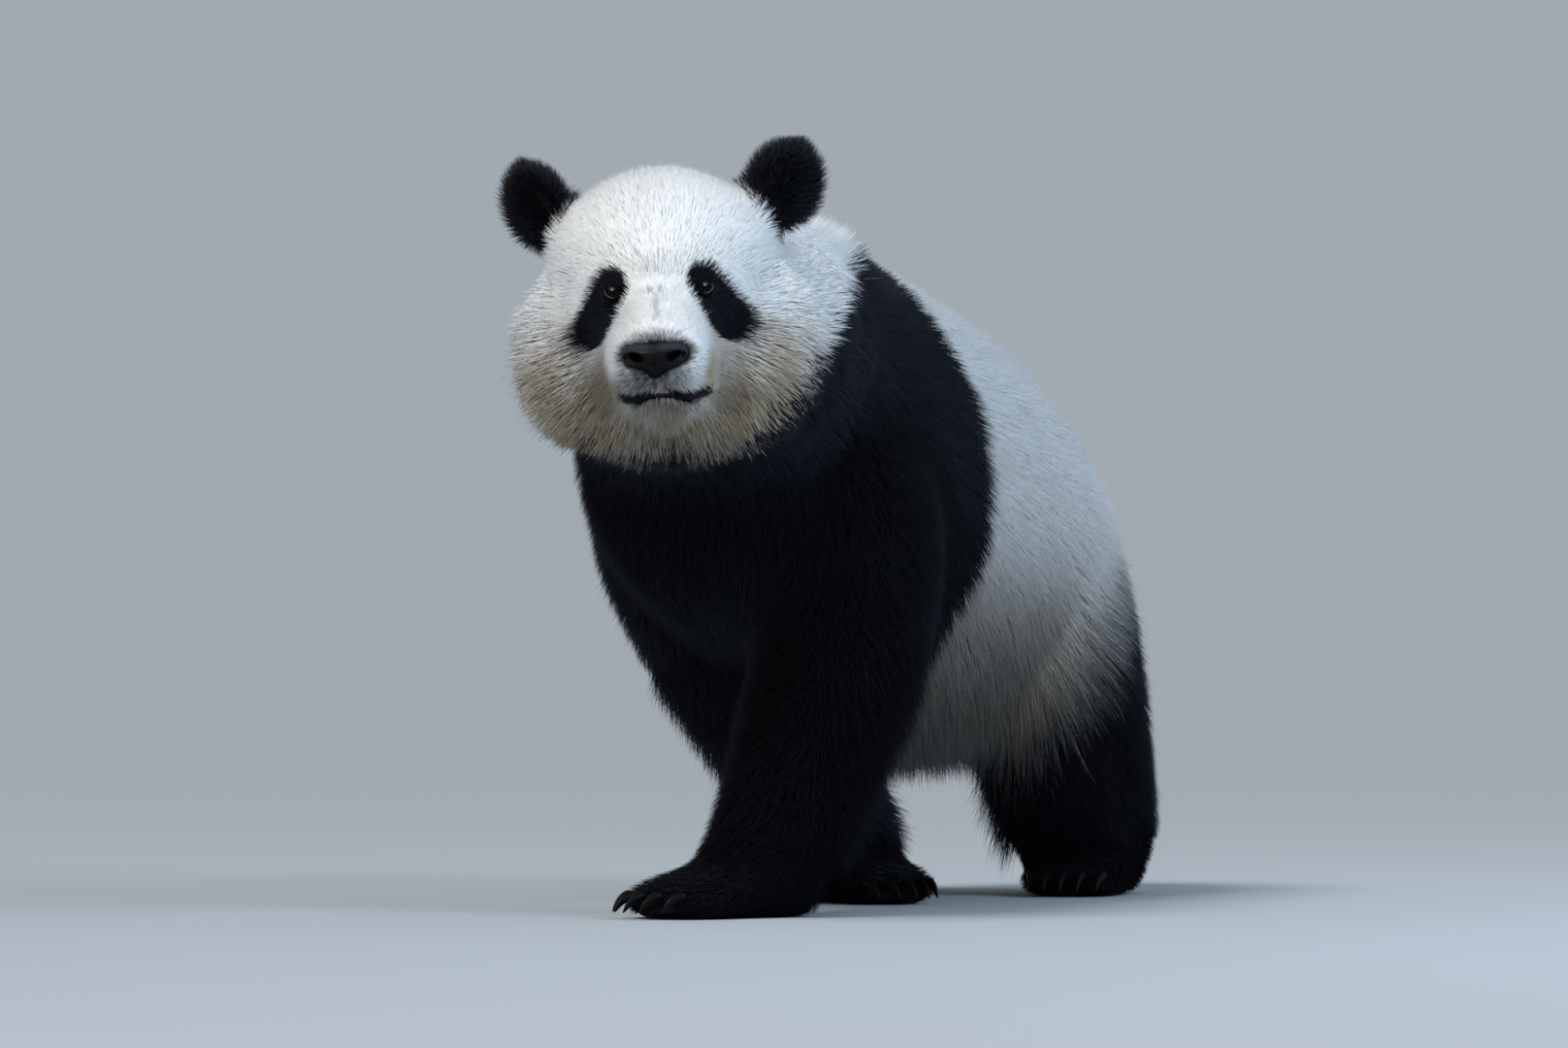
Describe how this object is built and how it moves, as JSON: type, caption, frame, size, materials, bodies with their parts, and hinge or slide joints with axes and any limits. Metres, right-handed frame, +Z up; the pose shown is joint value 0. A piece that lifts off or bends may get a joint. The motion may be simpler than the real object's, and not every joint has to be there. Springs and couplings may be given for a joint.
{
  "type": "giant panda",
  "caption": "Life-size giant panda as a still model, standing in mid step on four flat soles with its head turned to its left.",
  "frame": {"origin": "on the floor, in the middle of the box round the whole animal", "axes": "+Z up, -Y the way the body faces, +X the animal's left side"},
  "size_m": [0.4638, 1.3586, 0.8003],
  "materials": {
    "white_coat": "matte fur, white to cream",
    "black_coat": "matte fur, bluish black",
    "nose_leather": "bare skin, slightly moist",
    "eye": "wet, glossy, dark brown",
    "claw": "horn, satin"
  },
  "bodies": {
    "root": {"trunk": "white_coat", "neck": "white_coat", "head": "white_coat", "lower_jaw": "white_coat", "tail": "white_coat", "nose": "nose_leather", "ear_left": "black_coat", "eye_left": "eye", "upper_arm_left": "black_coat", "forearm_left": "black_coat", "forepaw_left": "black_coat", "thigh_left": "black_coat", "shank_left": "black_coat", "hindpaw_left": "black_coat", "forepaw_left_claw_1": "claw", "forepaw_left_claw_2": "claw", "forepaw_left_claw_3": "claw", "forepaw_left_claw_4": "claw", "forepaw_left_claw_5": "claw", "hindpaw_left_claw_1": "claw", "hindpaw_left_claw_2": "claw", "hindpaw_left_claw_3": "claw", "hindpaw_left_claw_4": "claw", "hindpaw_left_claw_5": "claw", "ear_right": "black_coat", "eye_right": "eye", "upper_arm_right": "black_coat", "forearm_right": "black_coat", "forepaw_right": "black_coat", "thigh_right": "black_coat", "shank_right": "black_coat", "hindpaw_right": "black_coat", "forepaw_right_claw_1": "claw", "forepaw_right_claw_2": "claw", "forepaw_right_claw_3": "claw", "forepaw_right_claw_4": "claw", "forepaw_right_claw_5": "claw", "hindpaw_right_claw_1": "claw", "hindpaw_right_claw_2": "claw", "hindpaw_right_claw_3": "claw", "hindpaw_right_claw_4": "claw", "hindpaw_right_claw_5": "claw"}
  },
  "joints": []
}
